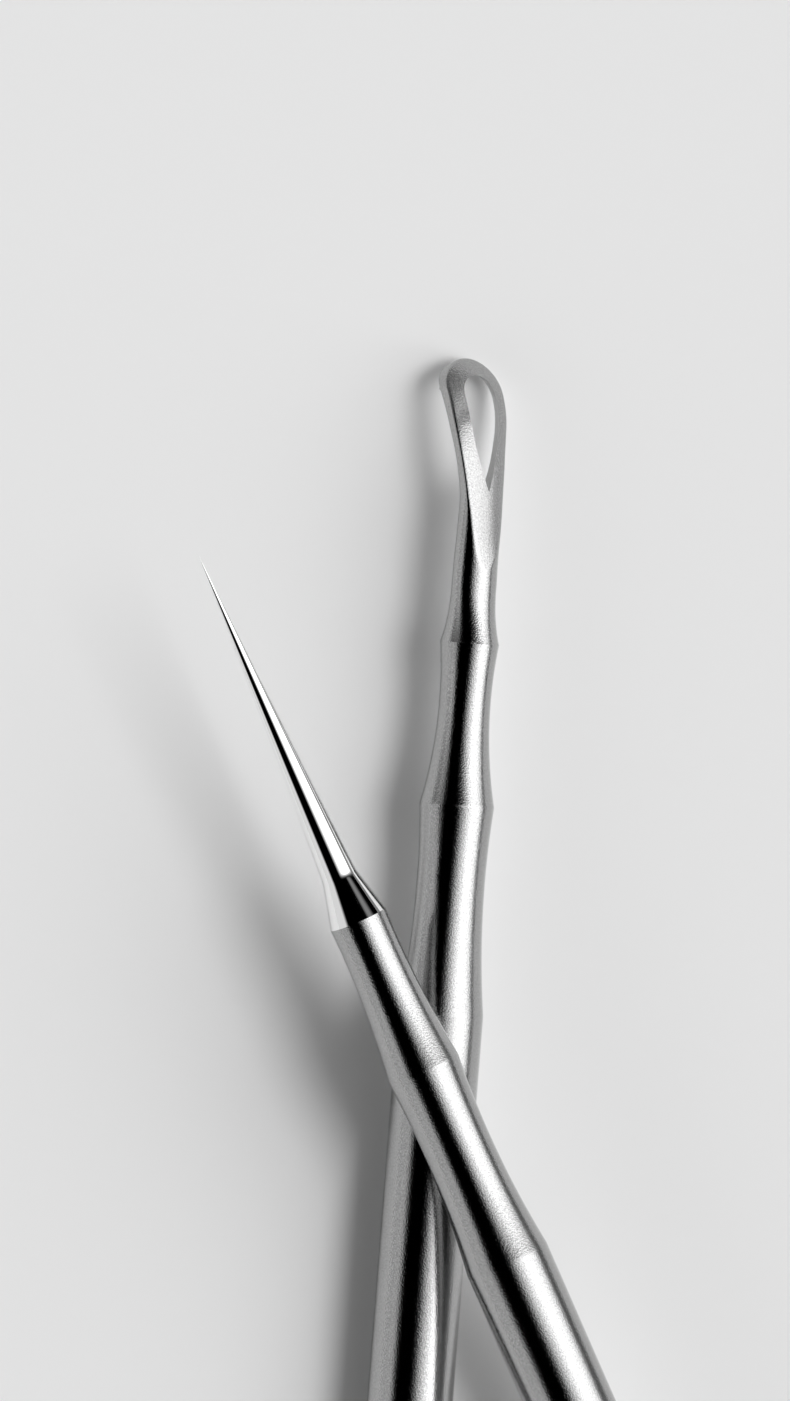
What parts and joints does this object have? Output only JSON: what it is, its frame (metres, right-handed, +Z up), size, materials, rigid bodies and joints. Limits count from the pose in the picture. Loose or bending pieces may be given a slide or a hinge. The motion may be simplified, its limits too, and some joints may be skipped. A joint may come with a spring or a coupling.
{
  "type": "blackhead extractor set",
  "caption": "Slim steel skin-care hand tools with bamboo-node handles, laid across each other: a bent teardrop loop for pressing out blackheads and a sharp needle for lifting them.",
  "frame": {"origin": "middle of the bottom of the set's box, on the surface that the tools lie on", "axes": "+Y along the loop tool towards its loop, +Z up from the surface"},
  "size_m": [0.0558, 0.1164, 0.0127],
  "materials": {
    "satin_steel": "fine bead-blasted satin stainless steel",
    "polished_steel": "mirror-polished stainless steel"
  },
  "bodies": {
    "loop_tool": {"loop_tool_handle": "satin_steel", "loop_head": "satin_steel"},
    "needle_tool": {"needle_tool_handle": "satin_steel", "needle": "polished_steel"}
  },
  "joints": [
    {"name": "needle_tool_lift", "type": "slide", "parent": "loop_tool", "child": "needle_tool", "axis": [0, 0, 1], "range_m": [0, 0.05]}
  ]
}
